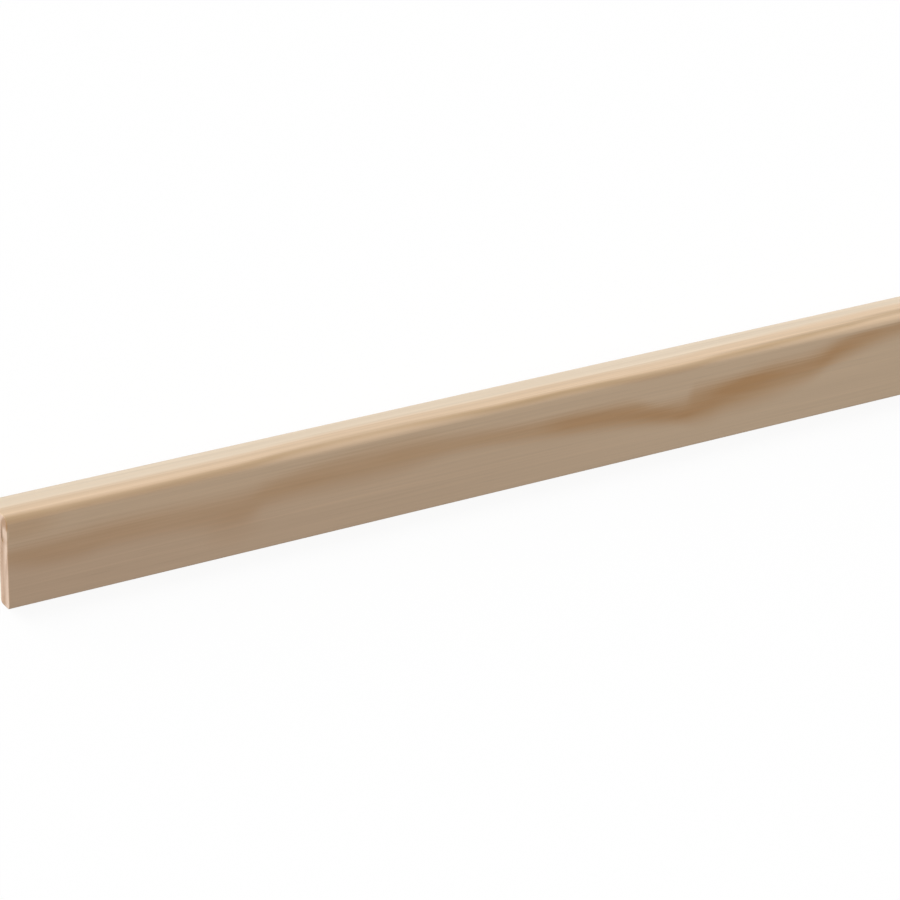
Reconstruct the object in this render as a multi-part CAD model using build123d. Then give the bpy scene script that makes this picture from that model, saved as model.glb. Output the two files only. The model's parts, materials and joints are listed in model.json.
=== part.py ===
from build123d import *
import math
import os

# A hockey stick moulding: one planed strip of pine, a thin flat leg with a thick hook turned back along its top.
# It lies show face up, propped on the hook's lip and the back of the leg's foot. Sizes are in millimetres.

# Stock
length = 2400.0  # sawn length
face_width = 33.0  # show face, from the leg's foot to the top of the hook
hook_depth = 18.0  # from the show face to the hook's back
leg_thickness = 6.5  # from the show face to the leg's back
hook_thickness = 10.0  # from the top of the hook to its seat

# Rounded arrises along the strip
nose_radius = 2.8  # show face into the top of the hook
heel_radius = 3.5  # top of the hook into its back
lip_radius = 1.2  # back of the hook into its seat
rebate_radius = 0.8  # seat of the hook into the leg's back, left by the cutter
foot_radius = 1.4  # leg's back into the foot
toe_radius = 1.0  # foot into the show face
wall_share = 0.45  # most of a wall that one of its two arrises may take

# A rounding never takes more than its share of the wall that it is on.
hook_overhang = hook_depth - leg_thickness
leg_reach = face_width - hook_thickness
nose = min(nose_radius, wall_share * hook_depth, wall_share * face_width)
heel = min(heel_radius, wall_share * hook_depth, wall_share * hook_thickness)
lip = min(lip_radius, wall_share * hook_overhang, wall_share * hook_thickness)
rebate = min(rebate_radius, wall_share * hook_overhang, wall_share * leg_reach)
foot = min(foot_radius, wall_share * leg_thickness, wall_share * leg_reach)
toe = min(toe_radius, wall_share * leg_thickness, wall_share * face_width)


def hockey_stick_section():
    # The section stands on its foot, X back from the show face and Y up, and each corner has its own rounding.
    corners = [
        ((0, 0), toe),
        ((leg_thickness, 0), foot),
        ((leg_thickness, leg_reach), rebate),
        ((hook_depth, leg_reach), lip),
        ((hook_depth, face_width), heel),
        ((0, face_width), nose),
    ]
    section = make_face(Polyline(*[point for point, radius in corners], close=True))
    for point, radius in corners:
        corner = section.vertices().sort_by_distance(Vector(*point))[0]
        section = fillet(corner, radius)
    return section


def resting_angle():
    # The floor touches the foot's rounding and the lip's, so it is their common tangent.
    foot_to_lip = Vector(hook_depth - lip, leg_reach + lip) - Vector(leg_thickness - foot, foot)
    rise = math.atan2(foot_to_lip.Y, foot_to_lip.X)
    return math.degrees(rise - math.asin((lip - foot) / foot_to_lip.length))


# The section is drawn across the strip's length, which runs along X, then the strip is laid down on its back.
across = Plane(origin=(-length / 2, 0, 0), x_dir=(0, 1, 0), z_dir=(1, 0, 0))
standing = extrude(across * hockey_stick_section(), length)
lying = Rot(-resting_angle(), 0, 0) * standing
reach = lying.bounding_box()
moulding = Pos(0, -reach.center().Y, -reach.min.Z) * lying

os.makedirs("parts", exist_ok=True)
export_step(moulding, "parts/moulding.step")
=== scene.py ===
# A hockey stick moulding in planed pine, lying show face up on a white studio floor.
import json
import math

import bmesh
import bpy
from mathutils import Matrix, Quaternion, Vector


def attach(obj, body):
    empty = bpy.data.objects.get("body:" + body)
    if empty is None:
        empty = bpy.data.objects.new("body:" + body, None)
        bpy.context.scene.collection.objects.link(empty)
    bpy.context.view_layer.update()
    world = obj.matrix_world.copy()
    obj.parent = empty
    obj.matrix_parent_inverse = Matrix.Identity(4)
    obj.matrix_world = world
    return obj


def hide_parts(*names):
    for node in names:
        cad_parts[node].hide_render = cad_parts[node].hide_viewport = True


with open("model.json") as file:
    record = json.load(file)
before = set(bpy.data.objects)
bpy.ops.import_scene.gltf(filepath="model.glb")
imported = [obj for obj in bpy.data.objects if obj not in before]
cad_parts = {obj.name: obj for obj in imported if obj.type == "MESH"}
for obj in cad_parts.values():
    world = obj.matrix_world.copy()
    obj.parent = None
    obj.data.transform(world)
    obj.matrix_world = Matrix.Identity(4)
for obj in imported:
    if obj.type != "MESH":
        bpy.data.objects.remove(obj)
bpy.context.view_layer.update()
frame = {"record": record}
mm = 0.001
sameSpot = 0.01 * mm  # points closer than this count as one
squarely = 0.95  # a face whose normal has more than this along an axis faces that way

# Sizes in millimetres, in the section's own frame: the strip stands on its foot, its length along X,
# depth back from the show face along Y and height along Z.
moulding = {
    "length": 2400.0,
    "faceWidth": 33.0,
    "hookDepth": 18.0,
    "legThickness": 6.5,
    "hookThickness": 10.0,
    "noseRound": 2.8,  # show face into the top of the hook
    "heelRound": 3.5,  # top of the hook into its back
    "lipRound": 1.2,  # back of the hook into its seat
    "rebateRound": 0.8,  # seat into the leg's back
    "footRound": 1.4,  # leg's back into the foot
    "toeRound": 1.0,  # foot into the show face
    "arcSteps": 10,  # facets in each rounded arris
    "sawnArris": 0.25,  # the saw leaves the end's edge this soft
    "sawnSteps": 2,  # facets in that edge
    "stretch": 60.0,  # between the cross cuts along the strip
    "smoothAngle": 20.0,  # sharper turns than this keep a crisp edge
    "mapStretch": 240.0,  # length of skin in each island of the bake map
    "mapMargin": 0.002,  # round each island as it is unrolled
    "packMargin": 0.003,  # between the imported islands
}
legReach = moulding["faceWidth"] - moulding["hookThickness"]
halfLength = moulding["length"] / 2

# The leg's back is a mount, so its normal says how far the strip is laid over, and its place says where.
legBack = next(mount for mount in frame["record"]["mounts"] if mount["name"] == "leg_back")
layAngle = math.atan2(-legBack["axis"][2], legBack["axis"][1])
backMiddle = (moulding["footRound"] + legReach - moulding["rebateRound"]) / 2
standingPlace = Vector((0, moulding["legThickness"], backMiddle)) * mm
layPlace = Vector(legBack["pos_m"]) - Matrix.Rotation(-layAngle, 3, "X") @ standingPlace


def pickEdges(piece, wanted):
    bpy.ops.mesh.select_mode(type="EDGE")
    bpy.ops.mesh.select_all(action="DESELECT")
    mesh = bmesh.from_edit_mesh(piece.data)
    for edge in mesh.edges:
        edge.select_set(wanted(edge))
    bmesh.update_edit_mesh(piece.data)


def pickFaces(piece, wanted):
    bpy.ops.mesh.select_mode(type="FACE")
    bpy.ops.mesh.select_all(action="DESELECT")
    mesh = bmesh.from_edit_mesh(piece.data)
    for face in mesh.faces:
        face.select_set(wanted(face))
    bmesh.update_edit_mesh(piece.data)


def near(value, target):
    return abs(value - target * mm) < sameSpot


def onLine(edge, depth, height):
    # true for an edge that runs along the strip at this depth and height
    return all(near(vert.co.y, depth) and near(vert.co.z, height) for vert in edge.verts)


def isEnd(face):
    return abs(face.normal.x) > squarely


def selectOnly(piece):
    bpy.ops.object.select_all(action="DESELECT")
    piece.select_set(True)
    bpy.context.view_layer.objects.active = piece


def addBlock(name, low, high):
    # a cube between two corners in millimetres, left in edit mode
    bpy.ops.object.select_all(action="DESELECT")
    middle = (Vector(low) + Vector(high)) / 2 * mm
    size = (Vector(high) - Vector(low)) * mm
    bpy.ops.mesh.primitive_cube_add(size=1, location=middle, scale=size, calc_uvs=False)
    block = bpy.context.object
    block.name = name
    block.data.name = name
    bpy.ops.object.transform_apply(location=True, rotation=True, scale=True)
    bpy.ops.object.mode_set(mode="EDIT")
    return block


def shapeMoulding():
    low = (-halfLength, 0, 0)
    high = (halfLength, moulding["legThickness"], moulding["faceWidth"])
    piece = addBlock("pineMoulding", low, high)
    # the hook is drawn back from the leg above the rebate
    bpy.ops.mesh.bisect(plane_co=(0, 0, legReach * mm), plane_no=(0, 0, 1))
    pickFaces(piece, lambda face: face.normal.y > squarely and face.calc_center_median().z > legReach * mm)
    overhang = (moulding["hookDepth"] - moulding["legThickness"]) * mm
    bpy.ops.mesh.extrude_region_move(TRANSFORM_OT_translate={"value": (0, overhang, 0)})
    pickEdges(piece, lambda edge: onLine(edge, 0, legReach))
    bpy.ops.mesh.dissolve_edges(use_verts=False)
    # each long arris becomes an arc
    arrises = [
        (0, moulding["faceWidth"], "noseRound"),
        (moulding["hookDepth"], moulding["faceWidth"], "heelRound"),
        (moulding["hookDepth"], legReach, "lipRound"),
        (moulding["legThickness"], legReach, "rebateRound"),
        (moulding["legThickness"], 0, "footRound"),
        (0, 0, "toeRound"),
    ]
    for depth, height, name in arrises:
        pickEdges(piece, lambda edge: onLine(edge, depth, height))
        radius = moulding[name] * mm
        bpy.ops.mesh.bevel(offset=radius, segments=moulding["arcSteps"], profile=0.5, affect="EDGES")
    # soft sawn edge round both ends
    pickEdges(piece, lambda edge: [isEnd(face) for face in edge.link_faces].count(True) == 1)
    soft = moulding["sawnArris"] * mm
    bpy.ops.mesh.bevel(offset=soft, segments=moulding["sawnSteps"], profile=0.5, affect="EDGES")
    for index in range(1, round(moulding["length"] / moulding["stretch"])):
        cut = -halfLength + index * moulding["stretch"]
        bpy.ops.mesh.select_all(action="SELECT")
        bpy.ops.mesh.bisect(plane_co=(cut * mm, 0, 0), plane_no=(1, 0, 0))
    # the bake map's seam runs along the middle of the leg's back
    bpy.ops.mesh.select_all(action="SELECT")
    bpy.ops.mesh.bisect(plane_co=(0, 0, backMiddle * mm), plane_no=(0, 0, 1))
    bpy.ops.object.mode_set(mode="OBJECT")
    print("moulding shaped:", len(piece.data.polygons), "faces")
    return piece


# A short split follows a ring down the sawn end near the nose and hooks forward at its foot.
split = {
    "depth": 3.85,  # back from the show face
    "top": 29.4,
    "foot": 24.6,
    "hook": 1.1,  # radius of the turn at its foot
    "turn": 80.0,
    "turnSteps": 6,
    "width": 0.8,
    "taper": 0.15,  # share of the width at its ends
    "reach": 2.2,  # into the strip
}


def openSplit(piece):
    half = split["width"] / 2
    low = (-halfLength - split["reach"], split["depth"] - half, split["foot"])
    high = (-halfLength + split["reach"], split["depth"] + half, split["top"])
    cutter = addBlock("splitCutter", low, high)
    pickFaces(cutter, lambda face: face.normal.z > squarely)
    crown = Vector((-halfLength, split["depth"], split["top"])) * mm
    bpy.ops.transform.resize(value=(1, split["taper"], 1), center_override=crown)
    pickFaces(cutter, lambda face: face.normal.z < -squarely)
    turn = Vector((-halfLength, split["depth"] - split["hook"], split["foot"])) * mm
    angle = math.radians(split["turn"])
    bpy.ops.mesh.spin(steps=split["turnSteps"], angle=angle, center=turn, axis=(1, 0, 0))
    tip = turn + Vector((0, math.cos(angle), -math.sin(angle))) * split["hook"] * mm
    pickFaces(cutter, lambda face: (face.calc_center_median() - tip).length < sameSpot)
    bpy.ops.transform.resize(value=(1, split["taper"], split["taper"]), center_override=tip)
    bpy.ops.mesh.select_all(action="SELECT")
    bpy.ops.mesh.remove_doubles(threshold=sameSpot)
    bpy.ops.mesh.normals_make_consistent(inside=False)
    bpy.ops.object.mode_set(mode="OBJECT")
    selectOnly(piece)
    cut = piece.modifiers.new("split", "BOOLEAN")
    cut.operation = "DIFFERENCE"
    cut.solver = "EXACT"
    cut.object = cutter
    bpy.ops.object.modifier_apply(modifier=cut.name)
    bpy.data.objects.remove(cutter)
    print("split opened:", len(piece.data.polygons), "faces")


def layOutSkin(piece):
    # the long skin is cut into even stretches, so that a square bake map holds it at one scale
    def stretchOf(face):
        return math.floor((face.calc_center_median().x / mm + halfLength) / moulding["mapStretch"])

    def onBack(vert):
        return near(vert.co.z, backMiddle) and near(vert.co.y, moulding["legThickness"])

    def isSeam(edge):
        first, second = edge.link_faces
        atEnd = isEnd(first) != isEnd(second)
        acrossStrip = stretchOf(first) != stretchOf(second)
        return atEnd or acrossStrip or all(onBack(vert) for vert in edge.verts)

    piece.data.uv_layers.new(name="OFBake")
    bpy.ops.object.mode_set(mode="EDIT")
    pickEdges(piece, isSeam)
    bpy.ops.mesh.mark_seam()
    bpy.ops.mesh.select_all(action="SELECT")
    bpy.ops.uv.unwrap(method="ANGLE_BASED", margin=moulding["mapMargin"])
    bpy.ops.uv.average_islands_scale()
    bpy.ops.uv.pack_islands(rotate=True, margin=moulding["packMargin"])
    bpy.ops.object.mode_set(mode="OBJECT")
    print("skin laid out")


def layDown(piece):
    selectOnly(piece)
    bpy.ops.object.mode_set(mode="EDIT")
    bpy.ops.mesh.select_all(action="SELECT")
    bpy.ops.transform.rotate(value=layAngle, orient_axis="X", center_override=(0, 0, 0))
    bpy.ops.transform.translate(value=layPlace)
    bpy.ops.object.mode_set(mode="OBJECT")
    bpy.ops.object.shade_smooth_by_angle(angle=math.radians(moulding["smoothAngle"]))
    print("moulding laid down")


def linear(hexColour):
    # sRGB hex to the linear numbers that Blender mixes
    shares = [int(hexColour[place:place + 2], 16) / 255 for place in (1, 3, 5)]
    return tuple(s / 12.92 if s <= 0.04045 else ((s + 0.055) / 1.055) ** 2.4 for s in shares) + (1.0,)


def addNode(tree, kind, inputs, points=(), **settings):
    # inputs go by name or in order, and each is another node, one of its sockets or a plain value
    node = tree.nodes.new(kind)
    for name, value in settings.items():
        setattr(node, name, value)
    # a curve node is drawn through its points
    if points:
        drawn = node.mapping.curves[0].points
        while len(drawn) < len(points):
            drawn.new(0.5, 0.5)
        for point, place in zip(drawn, points):
            point.location = place
        node.mapping.update()
    named = inputs.items() if isinstance(inputs, dict) else enumerate(inputs)
    for socket, value in named:
        if isinstance(value, bpy.types.Node):
            value = next(output for output in value.outputs if output.enabled)
        if isinstance(value, bpy.types.NodeSocket):
            tree.links.new(value, node.inputs[socket])
        else:
            node.inputs[socket].default_value = value
    return node


def newMaterial(name):
    material = bpy.data.materials.new(name)
    material.use_nodes = True
    material.node_tree.nodes.clear()
    return material, material.node_tree


# Planed pine: pale cream springwood and honey-brown summerwood. The rings lie at a low angle to the show
# face, so one soft band wanders along it, a line runs over the nose and fainter ones along the top of the
# hook. The sawn ends are pinker and show the rings edge on. Fine fibres streak the length and leave a dry,
# slightly uneven sheen. Lengths are in millimetres: along from the sawn end, depth back from the show face,
# height up from the foot. A pair of values says where a change begins and ends, or what it is there.
pine = {
    "springwood": "#DABD9C",
    "summerwood": "#BE8F5B",
    "paleSpringwoodAndSheen": "#E0CDB4",  # paler over the hook and behind: partly paler wood, partly painted sheen
    "paleSpringwoodAndSheenSpan": (11.6, 15.0),  # out through the rings
    "edgeSummerwood": "#B3946C",  # greyer past the nose
    "edgeSummerwoodSpan": (0.5, 4.0),  # over the nose
    "endSpringwood": "#DEC2AB",
    "endSummerwood": "#A87F58",
    "sawnSpan": (0.6, 0.95),  # how squarely a surface faces along the strip, from long grain to end grain

    # painted shade: the face is darkened a little near the sawn end, most of all low down
    "paintedShadeTint": "#F3EEEE",
    "paintedShadeLength": 300.0,
    "paintedShadeDepth": (1.0, 4.0),
    "paintedShadeHeight": (14.0, 27.0),
    "paintedShadeHigh": 0.35,  # share of it high on the face

    # rings, counted out from the middle of the band
    "ringTilt": 0.30,  # rise of the rings across the face
    "bandOut": 2.1,  # where that middle lies
    "ringSpacing": 5.8,
    "coreSpacing": 10.4,  # the rings are wider towards the core
    "bandShare": 0.6,  # of a ring, at the middle of the band
    # share of a ring, and how dark it is there
    "ringShade": [(0, 0), (0.12, 0), (0.22, 0.15), (0.32, 0.5), (0.41, 0.88), (0.49, 1), (0.6, 0.87),
                  (0.72, 0.5), (0.8, 0.2), (0.9, 0.03), (1, 0)],
    "ringStrength": 0.6,
    "drawnRings": 2.0,  # the band and the nose line stand for this many near the sawn end
    "faintRings": 0.15,  # strength of the others there
    "endRings": 0.3,  # strength of all of them in the sawn ends

    # the grain near the sawn end, each row or point by its place along the strip
    "courseLength": 400.0,
    # the band's foot, darkest part and top on the face, and its shade
    "band": [(0, 15.5, 19, 21.5), (20, 13.5, 17.5, 22), (40, 15, 19, 23), (84, 13, 17.5, 22.5),
             (96, 16.5, 20.5, 24.5), (145, 18, 23, 27.5), (170, 19.5, 22.5, 26), (200, 17.5, 21, 24),
             (237, 14.8, 18.8, 22.7), (258, 11.6, 15, 18.7), (264, 10.6, 14, 18.5), (268.5, 10.2, 15, 21.2),
             (284, 12.2, 18.6, 23), (300, 13.5, 20.8, 24.7), (316, 15.6, 21, 25), (336, 22, 26.3, 29),
             (357, 25, 28.6, 30.5), (400, 28, 31, 32.5)],
    "bandShade": [(0, 0.43), (30, 0.5), (48, 0.45), (84, 0.46), (105, 0.57), (140, 0.53), (170, 0.52),
                  (195, 0.52), (220, 0.88), (295, 0.9), (316, 0.8), (336, 0.9), (357, 0.65), (400, 0.55)],
    # the line over the nose, by its distance over it, and its shade
    "noseStart": 4.0,  # that distance begins this far below the top
    "noseSpan": 11.2,  # the line stays within this distance
    "noseLine": [(0, 4), (80, 3.9), (107, 5.6), (136, 6.4), (166, 5.4), (188, 4.5), (217, 4.5), (260, 3.2),
                 (281, 4.6), (303, 5.3), (337, 6.7), (365, 8), (400, 6.5)],
    "noseShade": [(0, 0.64), (55, 0.58), (90, 0.66), (150, 0.62), (205, 0.78), (258, 0.6), (310, 0.8),
                  (400, 0.8)],
    "noseReach": 1.6,  # to each side of its middle
    "ringFollow": 0.6,  # how much the rings over the hook rise and dip with it
    "softEdge": (0.1, 1.9),  # of the band and the line, as shares of their half widths
    # middle, size and how much darker, for a stain, the band's heart, handled wood beside the sawn end,
    # its dark corner, partly darker end grain and partly painted shade, a chip and a smear below it
    "patches": [((82, 0, 10.3), (16, 6, 8), 0.16), ((291, 0, 20), (30, 6, 4.5), 0.1),
                ((4, 0, 28.6), (20, 5, 6.5), 0.3), ((0, 0.3, 30.2), (0.45, 4.8, 3.2), 1.1),
                ((0, 1.4, 27.2), (1.5, 2.4, 3.6), -0.9), ((0, 1.5, 24.2), (1.2, 3, 2), 0.25)],
    "patchCore": 0.2,  # share of a patch that has its full strength

    # beyond that the rings wander freely, and fade from the face back over the hook
    "beyondSpan": (370.0, 560.0),
    "wander": 36.0,
    "wanderLength": 420.0,
    "wanderNoise": {"Detail": 2.0, "Roughness": 0.4},
    "hookSpan": (1.0, 8.5),
    "hookRings": 0.2,

    # length, depth and height of each kind of mark, and how much finer detail it has
    "marks": {
        "drift": ((40.0, 12.0, 12.0), 3.0),  # a slow waver in the rings
        "mottle": ((35.0, 4.0, 4.0), 2.0),  # a blotch in the band
        "streak": ((260.0, 1.3, 1.3), 2.0),  # a long pale or dark streak
        "fibre": ((90.0, 0.9, 0.9), 4.0),
        "fleck": ((22.0, 0.45, 0.45), 2.0),  # of resin
    },
    "markRoughness": 0.6,  # strength of each finer layer of a mark against the one before
    "fray": 0.9,  # how far the fibres fray the rings' borders
    "hookFray": 0.2,  # and how much further for each millimetre of depth
    "driftStrength": (0.35, 1.6),  # near the sawn end and beyond
    "mottleSpan": (0.3, 0.7),
    "mottleShade": (0.88, 1.1),
    "fibreSpan": (0.25, 0.75),
    "fibreBright": (0.94, 1.05),
    "fleckSpan": (0.62, 0.74),
    "fleckBright": (1.0, 0.92),
    "streakDepth": (0.0, 5.0),  # streaks are plainer over the hook, where the rings are cut across
    "streakStrength": (0.1, 0.28),
    "roughness": (0.66, 0.54),  # in the hollows and on the fibres
    "summerwoodRoughness": -0.08,  # what dense summerwood adds to that
    "sheen": 0.25,
    "ior": 1.5,

    # raised fibres, and the saw's ridges on the ends
    "reliefHeight": 0.05,
    "reliefStrength": 0.35,
    "sawMark": 1.1,  # spacing of the ridges
    "sawWaver": {"Distortion": 1.2, "Detail": 2.0, "Detail Scale": 0.4},
}


def followCourse(tree, along, heights, scale):
    # a smooth course near the sawn end, through heights up to the scale
    share = addNode(tree, "ShaderNodeMath", [along, pine["courseLength"]], operation="DIVIDE", use_clamp=True)
    points = [(place / pine["courseLength"], height / scale) for place, height in heights]
    course = addNode(tree, "ShaderNodeFloatCurve", {"Value": share}, points)
    return addNode(tree, "ShaderNodeMath", [course, scale], operation="MULTIPLY")


def softBand(tree, level, foot, middle, top):
    # one in the middle, a half at the foot and the top, and zero well outside
    rise = addNode(tree, "ShaderNodeMath", [level, middle], operation="SUBTRACT")
    sides = []
    for border in (foot, top):
        reach = addNode(tree, "ShaderNodeMath", [border, middle], operation="SUBTRACT")
        sides.append(addNode(tree, "ShaderNodeMath", [rise, reach], operation="DIVIDE"))
    away = addNode(tree, "ShaderNodeMath", sides, operation="MAXIMUM")
    return addNode(tree, "ShaderNodeMapRange", [away, *pine["softEdge"], 1.0, 0.0],
                   interpolation_type="SMOOTHSTEP")


def faceBand(tree, place, stray):
    # by the height at which this part of the ring would meet the face
    along, depth, height = place
    level = addNode(tree, "ShaderNodeMath", [depth, stray], operation="ADD")
    level = addNode(tree, "ShaderNodeMath", [level, 1 / pine["ringTilt"], height], operation="MULTIPLY_ADD")
    borders = []
    for column in (1, 2, 3):
        heights = [(row[0], row[column]) for row in pine["band"]]
        borders.append(followCourse(tree, along, heights, moulding["faceWidth"]))
    band = softBand(tree, level, *borders)
    shade = followCourse(tree, along, pine["bandShade"], 1.0)
    return addNode(tree, "ShaderNodeMath", [band, shade], operation="MULTIPLY")


def noseBand(tree, along, overNose, noseLine, stray):
    over = addNode(tree, "ShaderNodeMath", [overNose, stray], operation="ADD")
    borders = []
    for reach in (-pine["noseReach"], 0.0, pine["noseReach"]):
        borders.append(addNode(tree, "ShaderNodeMath", [noseLine, reach], operation="ADD"))
    line = softBand(tree, over, *borders)
    shade = followCourse(tree, along, pine["noseShade"], 1.0)
    return addNode(tree, "ShaderNodeMath", [line, shade], operation="MULTIPLY")


def ringLines(tree, place, noseLine, beyond, stray):
    along, depth, height = place
    # distance out through the rings, zero in the middle of the band
    out = addNode(tree, "ShaderNodeMath", [height, pine["ringTilt"], depth], operation="MULTIPLY_ADD")
    out = addNode(tree, "ShaderNodeMath", [noseLine, -pine["ringFollow"], out], operation="MULTIPLY_ADD")
    out = addNode(tree, "ShaderNodeMath", [out, pine["bandOut"]], operation="SUBTRACT")
    out = addNode(tree, "ShaderNodeMath", [out, stray], operation="ADD")
    pace = addNode(tree, "ShaderNodeMath", [along, pine["wanderLength"]], operation="DIVIDE")
    roam = addNode(tree, "ShaderNodeTexNoise", {"W": pace, "Scale": 1.0, **pine["wanderNoise"]},
                   noise_dimensions="1D")
    roam = addNode(tree, "ShaderNodeMath", [roam, 0.5], operation="SUBTRACT")
    roam = addNode(tree, "ShaderNodeMath", [roam, beyond], operation="MULTIPLY")
    radial = addNode(tree, "ShaderNodeMath", [roam, pine["wander"], out], operation="MULTIPLY_ADD")
    # count the rings outwards and inwards from there, and shade each
    outer = addNode(tree, "ShaderNodeMath", [radial, 0.0], operation="MAXIMUM")
    outer = addNode(tree, "ShaderNodeMath", [outer, 1 / pine["ringSpacing"], pine["bandShare"]],
                    operation="MULTIPLY_ADD")
    inner = addNode(tree, "ShaderNodeMath", [radial, 0.0], operation="MINIMUM")
    count = addNode(tree, "ShaderNodeMath", [inner, 1 / pine["coreSpacing"], outer], operation="MULTIPLY_ADD")
    part = addNode(tree, "ShaderNodeMath", [count], operation="FRACT")
    ring = addNode(tree, "ShaderNodeFloatCurve", {"Value": part}, pine["ringShade"])
    ring = addNode(tree, "ShaderNodeMath", [ring, pine["ringStrength"]], operation="MULTIPLY")
    # near the sawn end only the rings outside the drawn ones show, faintly
    faint = addNode(tree, "ShaderNodeMath", [count, pine["drawnRings"]], operation="GREATER_THAN")
    faint = addNode(tree, "ShaderNodeMath", [faint, pine["faintRings"]], operation="MULTIPLY")
    even = addNode(tree, "ShaderNodeMapRange", [depth, *pine["hookSpan"], 1.0, pine["hookRings"]])
    shown = addNode(tree, "ShaderNodeMix", {"Factor": beyond, "A": faint, "B": even}, data_type="FLOAT")
    lines = addNode(tree, "ShaderNodeMath", [ring, shown], operation="MULTIPLY")
    return lines, ring, out


def addPatches(tree, standing, late):
    # the dark corner of the sawn end among these is partly painted shade
    for middle, size, strength in pine["patches"]:
        shift = addNode(tree, "ShaderNodeVectorMath", [standing, middle], operation="SUBTRACT")
        shift = addNode(tree, "ShaderNodeVectorMath", [shift, size], operation="DIVIDE")
        reach = addNode(tree, "ShaderNodeVectorMath", [shift], operation="LENGTH")
        patch = addNode(tree, "ShaderNodeMapRange", [reach, pine["patchCore"], 1.0, strength, 0.0],
                        interpolation_type="SMOOTHSTEP")
        late = addNode(tree, "ShaderNodeMath", [late, patch], operation="ADD", use_clamp=True)
    return late


def summerwood(tree, standing, place, overNose, marks):
    # how much summerwood shows at each point, from 0 to 1
    along, depth, height = place
    beyond = addNode(tree, "ShaderNodeMapRange", [along, *pine["beyondSpan"], 0.0, 1.0],
                     interpolation_type="SMOOTHSTEP")
    # fibres fray the rings' borders, more over the hook, and a slow waver bends them
    fray = addNode(tree, "ShaderNodeMath", [depth, pine["hookFray"], pine["fray"]], operation="MULTIPLY_ADD")
    stray = addNode(tree, "ShaderNodeMath", [marks["fibre"], 0.5], operation="SUBTRACT")
    stray = addNode(tree, "ShaderNodeMath", [stray, fray], operation="MULTIPLY")
    sway = addNode(tree, "ShaderNodeMapRange", [beyond, 0.0, 1.0, *pine["driftStrength"]])
    drift = addNode(tree, "ShaderNodeMath", [marks["drift"], 0.5], operation="SUBTRACT")
    stray = addNode(tree, "ShaderNodeMath", [drift, sway, stray], operation="MULTIPLY_ADD")
    # near the sawn end, the band on the face and the line over the nose
    noseLine = followCourse(tree, along, pine["noseLine"], pine["noseSpan"])
    band = faceBand(tree, place, stray)
    line = noseBand(tree, along, overNose, noseLine, stray)
    bands = addNode(tree, "ShaderNodeMath", [band, line], operation="MAXIMUM")
    mottle = addNode(tree, "ShaderNodeMapRange", [marks["mottle"], *pine["mottleSpan"], *pine["mottleShade"]])
    bands = addNode(tree, "ShaderNodeMath", [bands, mottle], operation="MULTIPLY")
    first = addNode(tree, "ShaderNodeMath", [1.0, beyond], operation="SUBTRACT")
    bands = addNode(tree, "ShaderNodeMath", [bands, first], operation="MULTIPLY")
    # the other rings, and those beyond
    lines, ring, out = ringLines(tree, place, noseLine, beyond, stray)
    late = addNode(tree, "ShaderNodeMath", [lines, bands], operation="MAXIMUM")
    return addPatches(tree, standing, late), ring, out


def woodToneAndPaintedLight(tree, place, overNose, late, out):
    # planed long grain, with painted sheen over the hook and painted shade near the sawn end
    along, depth, height = place
    tones = []
    # the paler springwood over the hook and behind is partly painted sheen
    edges = (("springwood", "paleSpringwoodAndSheen", out), ("summerwood", "edgeSummerwood", overNose))
    for name, edgeName, level in edges:
        edge = addNode(tree, "ShaderNodeMapRange", [level, *pine[edgeName + "Span"], 0.0, 1.0],
                       interpolation_type="SMOOTHSTEP")
        tones.append(addNode(tree, "ShaderNodeMix", {"Factor": edge, "A": linear(pine[name]),
                                                     "B": linear(pine[edgeName])}, data_type="RGBA"))
    woodAndPaintedLight = addNode(tree, "ShaderNodeMix", {"Factor": late, "A": tones[0], "B": tones[1]}, data_type="RGBA")
    # painted shade: darker near the sawn end, most of all low on the face
    shadeNearEnd = addNode(tree, "ShaderNodeMapRange", [along, 0.0, pine["paintedShadeLength"], 1.0, 0.0])
    onFace = addNode(tree, "ShaderNodeMapRange", [depth, *pine["paintedShadeDepth"], 1.0, 0.0])
    shadeNearEnd = addNode(tree, "ShaderNodeMath", [shadeNearEnd, onFace], operation="MULTIPLY")
    lowDown = addNode(tree, "ShaderNodeMapRange", [height, *pine["paintedShadeHeight"], 1.0, pine["paintedShadeHigh"]])
    shadeNearEnd = addNode(tree, "ShaderNodeMath", [shadeNearEnd, lowDown], operation="MULTIPLY")
    return addNode(tree, "ShaderNodeMix", {"Factor": shadeNearEnd, "A": woodAndPaintedLight, "B": linear(pine["paintedShadeTint"])},
                   data_type="RGBA", blend_type="MULTIPLY")


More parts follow.
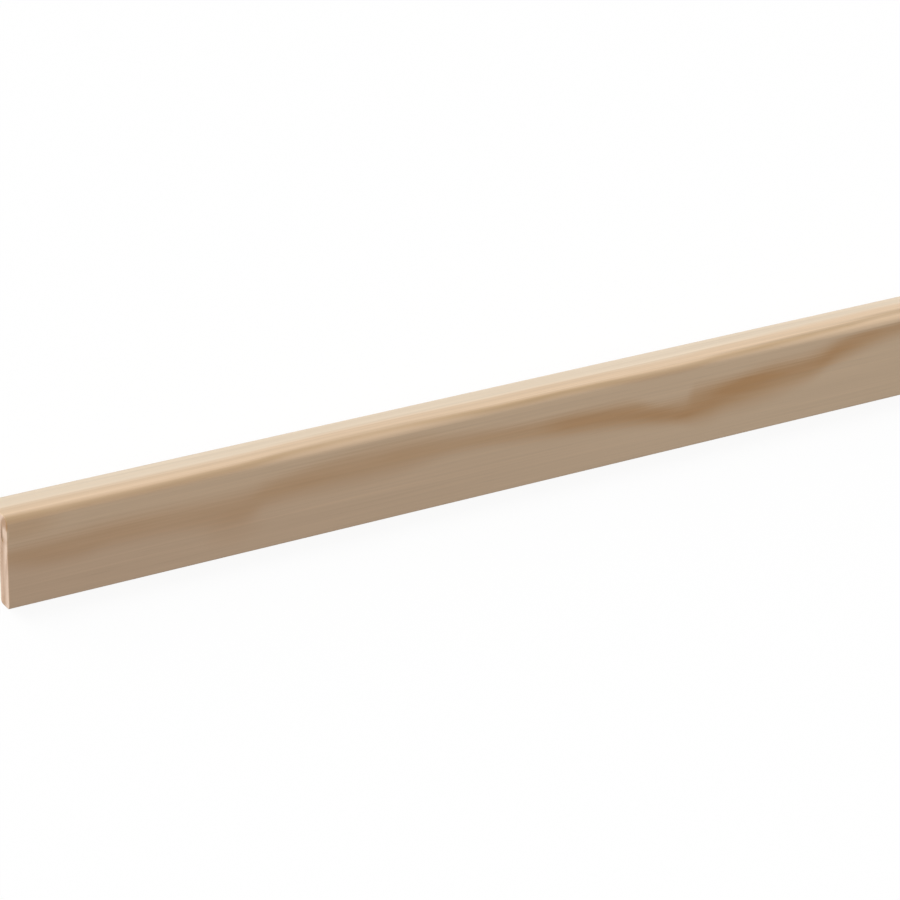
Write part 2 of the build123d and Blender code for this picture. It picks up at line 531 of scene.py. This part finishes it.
def pineMaterial():
    material, tree = newMaterial("planedPine")
    surface = addNode(tree, "ShaderNodeTexCoord", {})
    # back to the standing section, in millimetres from the sawn end
    origin = Matrix.Rotation(layAngle, 3, "X") @ -layPlace / mm + Vector((halfLength, 0, 0))
    standing = addNode(tree, "ShaderNodeMapping", {"Vector": surface.outputs["Object"], "Location": origin,
                                                   "Rotation": (layAngle, 0, 0), "Scale": (1 / mm,) * 3})
    place = addNode(tree, "ShaderNodeSeparateXYZ", [standing]).outputs
    along, depth, height = place
    marks = {}
    for name, (size, detail) in pine["marks"].items():
        spot = addNode(tree, "ShaderNodeVectorMath", [standing, size], operation="DIVIDE")
        marks[name] = addNode(tree, "ShaderNodeTexNoise", {"Vector": spot, "Scale": 1.0, "Detail": detail,
                                                           "Roughness": pine["markRoughness"]})
    # distance over the nose, from a little below its round
    noseFoot = moulding["faceWidth"] - pine["noseStart"]
    overNose = addNode(tree, "ShaderNodeMath", [height, noseFoot], operation="SUBTRACT")
    overNose = addNode(tree, "ShaderNodeMath", [overNose, 0.0], operation="MAXIMUM")
    overNose = addNode(tree, "ShaderNodeMath", [overNose, depth], operation="ADD")
    late, ring, out = summerwood(tree, standing, place, overNose, marks)
    woodAndPaintedLight = woodToneAndPaintedLight(tree, place, overNose, late, out)

    # end grain where the surface faces along the strip
    facing = addNode(tree, "ShaderNodeSeparateXYZ", [surface.outputs["Normal"]])
    facing = addNode(tree, "ShaderNodeMath", [facing], operation="ABSOLUTE")
    sawn = addNode(tree, "ShaderNodeMapRange", [facing, *pine["sawnSpan"], 0.0, 1.0])
    edgeOn = addNode(tree, "ShaderNodeMath", [ring, pine["endRings"], late], operation="MULTIPLY_ADD",
                     use_clamp=True)
    endGrain = addNode(tree, "ShaderNodeMix", {"Factor": edgeOn, "A": linear(pine["endSpringwood"]),
                                               "B": linear(pine["endSummerwood"])}, data_type="RGBA")
    colour = addNode(tree, "ShaderNodeMix", {"Factor": sawn, "A": woodAndPaintedLight, "B": endGrain}, data_type="RGBA")

    # fibres, resin flecks and long streaks
    bright = addNode(tree, "ShaderNodeMapRange", [marks["fibre"], *pine["fibreSpan"], *pine["fibreBright"]])
    fleck = addNode(tree, "ShaderNodeMapRange", [marks["fleck"], *pine["fleckSpan"], *pine["fleckBright"]])
    bright = addNode(tree, "ShaderNodeMath", [bright, fleck], operation="MULTIPLY")
    reach = addNode(tree, "ShaderNodeMapRange", [depth, *pine["streakDepth"], *pine["streakStrength"]])
    streak = addNode(tree, "ShaderNodeMath", [marks["streak"], 0.5], operation="SUBTRACT")
    streak = addNode(tree, "ShaderNodeMath", [streak, reach, 1.0], operation="MULTIPLY_ADD")
    bright = addNode(tree, "ShaderNodeMath", [bright, streak], operation="MULTIPLY")
    colour = addNode(tree, "ShaderNodeVectorMath", {0: colour, "Scale": bright}, operation="SCALE")
    dry = addNode(tree, "ShaderNodeMapRange", [marks["fibre"], *pine["fibreSpan"], *pine["roughness"]])
    dense = pine["summerwoodRoughness"]
    rough = addNode(tree, "ShaderNodeMath", [late, dense, dry], operation="MULTIPLY_ADD")

    # raised fibres along the length, and the saw's ridges on the ends
    waveLength = 2 * math.pi / 20  # of a wave of scale 1
    ridge = addNode(tree, "ShaderNodeTexWave", {"Vector": standing, "Scale": waveLength / pine["sawMark"],
                                                **pine["sawWaver"]}, bands_direction="Z")
    relief = addNode(tree, "ShaderNodeMix", {"Factor": sawn, "A": marks["fibre"], "B": ridge.outputs["Fac"]},
                     data_type="FLOAT")
    bump = addNode(tree, "ShaderNodeBump", {"Height": relief, "Strength": pine["reliefStrength"],
                                            "Distance": pine["reliefHeight"] * mm})
    shader = addNode(tree, "ShaderNodeBsdfPrincipled", {"Base Color": colour, "Roughness": rough,
                                                        "Normal": bump, "IOR": pine["ior"],
                                                        "Sheen Weight": pine["sheen"]})
    addNode(tree, "ShaderNodeOutputMaterial", {"Surface": shader})
    print("planed pine mixed:", len(tree.nodes), "nodes")
    return material


# White studio: one wide soft lamp from beyond the sawn end on the hook's side, and an even pale fill.
studio = {
    "lampFrom": (-0.70, 0.60, 0.38),
    "lampDistance": 5.0,
    "lampStrength": 2.5,
    "lampWidth": 35.0,
    "fill": 0.45,
    "floorSize": 60.0,
    "floorColour": "#D8D8D6",  # what lights the object from below
    "floorGlow": 0.9,  # what the camera sees of the floor in full shadow
    "floorShade": 0.13,  # and what light adds to that
}


def seenDirectly(tree):
    # one for the camera, for gloss and for glass, and zero where light only falls on the object
    rays = addNode(tree, "ShaderNodeLightPath", {})
    seen = rays.outputs["Is Camera Ray"]
    for kind in ("Is Glossy Ray", "Is Transmission Ray"):
        seen = addNode(tree, "ShaderNodeMath", [seen, rays.outputs[kind]], operation="MAXIMUM")
    return seen


def buildStudio():
    bpy.ops.object.select_all(action="DESELECT")
    bpy.ops.object.light_add(type="SUN", location=Vector(studio["lampFrom"]) * studio["lampDistance"])
    lamp = bpy.context.object
    lamp.name = "softLamp"
    lamp.rotation_mode = "QUATERNION"
    lamp.rotation_quaternion = Vector(studio["lampFrom"]).to_track_quat("Z", "Y")
    lamp.data.energy = studio["lampStrength"]
    lamp.data.angle = math.radians(studio["lampWidth"])

    world = bpy.data.worlds.new("paleFill")
    bpy.context.scene.world = world
    world.use_nodes = True
    tree = world.node_tree
    tree.nodes.clear()
    strength = addNode(tree, "ShaderNodeMapRange", [seenDirectly(tree), 0.0, 1.0, studio["fill"], 1.0])
    sky = addNode(tree, "ShaderNodeBackground", {"Color": (1, 1, 1, 1), "Strength": strength})
    addNode(tree, "ShaderNodeOutputWorld", {"Surface": sky})

    bpy.ops.mesh.primitive_plane_add(size=studio["floorSize"])
    floor = bpy.context.object
    floor.name = "studioFloor"
    material, tree = newMaterial("whiteFloor")
    pale = addNode(tree, "ShaderNodeBsdfDiffuse", {"Color": linear(studio["floorColour"])})
    shade = addNode(tree, "ShaderNodeBsdfDiffuse", {"Color": (studio["floorShade"],) * 3 + (1,)})
    glow = addNode(tree, "ShaderNodeEmission", {"Strength": studio["floorGlow"]})
    white = addNode(tree, "ShaderNodeAddShader", [shade, glow])
    mix = addNode(tree, "ShaderNodeMixShader", [seenDirectly(tree), pale, white])
    addNode(tree, "ShaderNodeOutputMaterial", {"Surface": mix})
    floor.data.materials.append(material)
    bpy.context.scene.view_settings.view_transform = "Standard"
    print("studio lit")


# The camera looks down on the sawn end from above the strip. Places are in metres.
camera = {
    "place": (-1.6021, 0.0350, 1.0619),
    "aim": (-1.0257, -0.0002, 0.0),
    "roll": -80.91,
    "lens": 138.4,
    "sensor": 36.0,
    "nearest": 0.01,
}


def placeCamera():
    bpy.ops.object.camera_add(location=camera["place"])
    view = bpy.context.object
    view.name = "photoCamera"
    look = (Vector(camera["aim"]) - Vector(camera["place"])).to_track_quat("-Z", "Y")
    view.rotation_mode = "QUATERNION"
    view.rotation_quaternion = look @ Quaternion((0, 0, 1), math.radians(-camera["roll"]))
    view.data.lens = camera["lens"]
    view.data.sensor_width = camera["sensor"]
    view.data.clip_start = camera["nearest"]
    bpy.context.scene.camera = view
    print("camera placed")


piece = shapeMoulding()
openSplit(piece)
layOutSkin(piece)
layDown(piece)
piece.data.materials.append(pineMaterial())
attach(piece, "root")
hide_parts("moulding")
buildStudio()
placeCamera()
